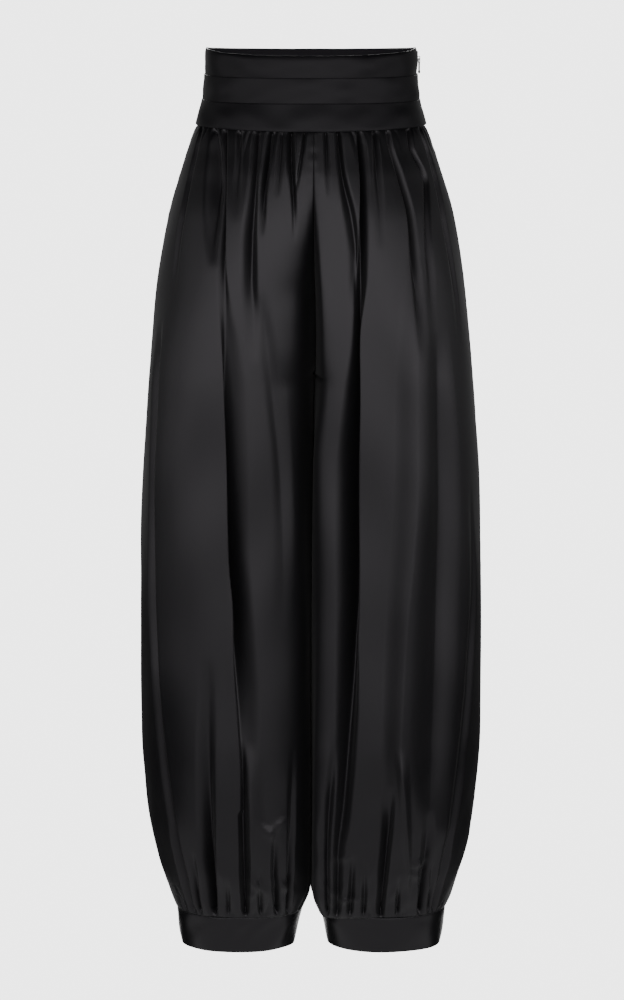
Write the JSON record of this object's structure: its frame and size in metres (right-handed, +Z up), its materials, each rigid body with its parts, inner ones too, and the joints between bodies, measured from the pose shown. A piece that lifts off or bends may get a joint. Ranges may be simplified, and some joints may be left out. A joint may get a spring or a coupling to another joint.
{
  "type": "wide-leg balloon trousers with cummerbund waistband",
  "caption": "Wide trousers of black satin, gathered from a tucked waistband into ankle cuffs, hollow as worn, with a side zip.",
  "frame": {"origin": "centre of the waist opening in the plane of the waistband's rim", "axes": "+Z up, -Y the wearer's front, +X the wearer's left"},
  "size_m": [0.4028, 0.2803, 1.06],
  "materials": {
    "leg_satin": "black satin, smooth with a soft sheen",
    "band_satin": "black satin, pressed flat",
    "facing_satin": "black satin, inside of the band",
    "zip_tape": "black woven polyester tape",
    "zip_coil": "black nylon coil",
    "zip_metal": "dark plated metal"
  },
  "bodies": {
    "garment": {"waist_facing_front": "facing_satin", "waist_facing_back": "facing_satin", "waist_tuck_top_front": "band_satin", "waist_tuck_middle_front": "band_satin", "waist_tuck_bottom_front": "band_satin", "waist_tuck_top_back": "band_satin", "waist_tuck_middle_back": "band_satin", "waist_tuck_bottom_back": "band_satin", "leg_front_right": "leg_satin", "leg_front_left": "leg_satin", "leg_back_right": "leg_satin", "leg_back_left": "leg_satin", "cuff_right": "band_satin", "cuff_left": "band_satin", "zip_tape_front": "zip_tape", "zip_tape_back": "zip_tape", "zip_coil": "zip_coil", "zip_slider": "zip_metal"},
    "pull_tab": {"zip_pull": "zip_metal"}
  },
  "joints": [
    {"name": "pull_tab_swing", "type": "hinge", "parent": "garment", "child": "pull_tab", "pos_m": [0.1253, 0, -0.0103], "axis": [0, -1, 0], "range_deg": [-4, 165]}
  ]
}
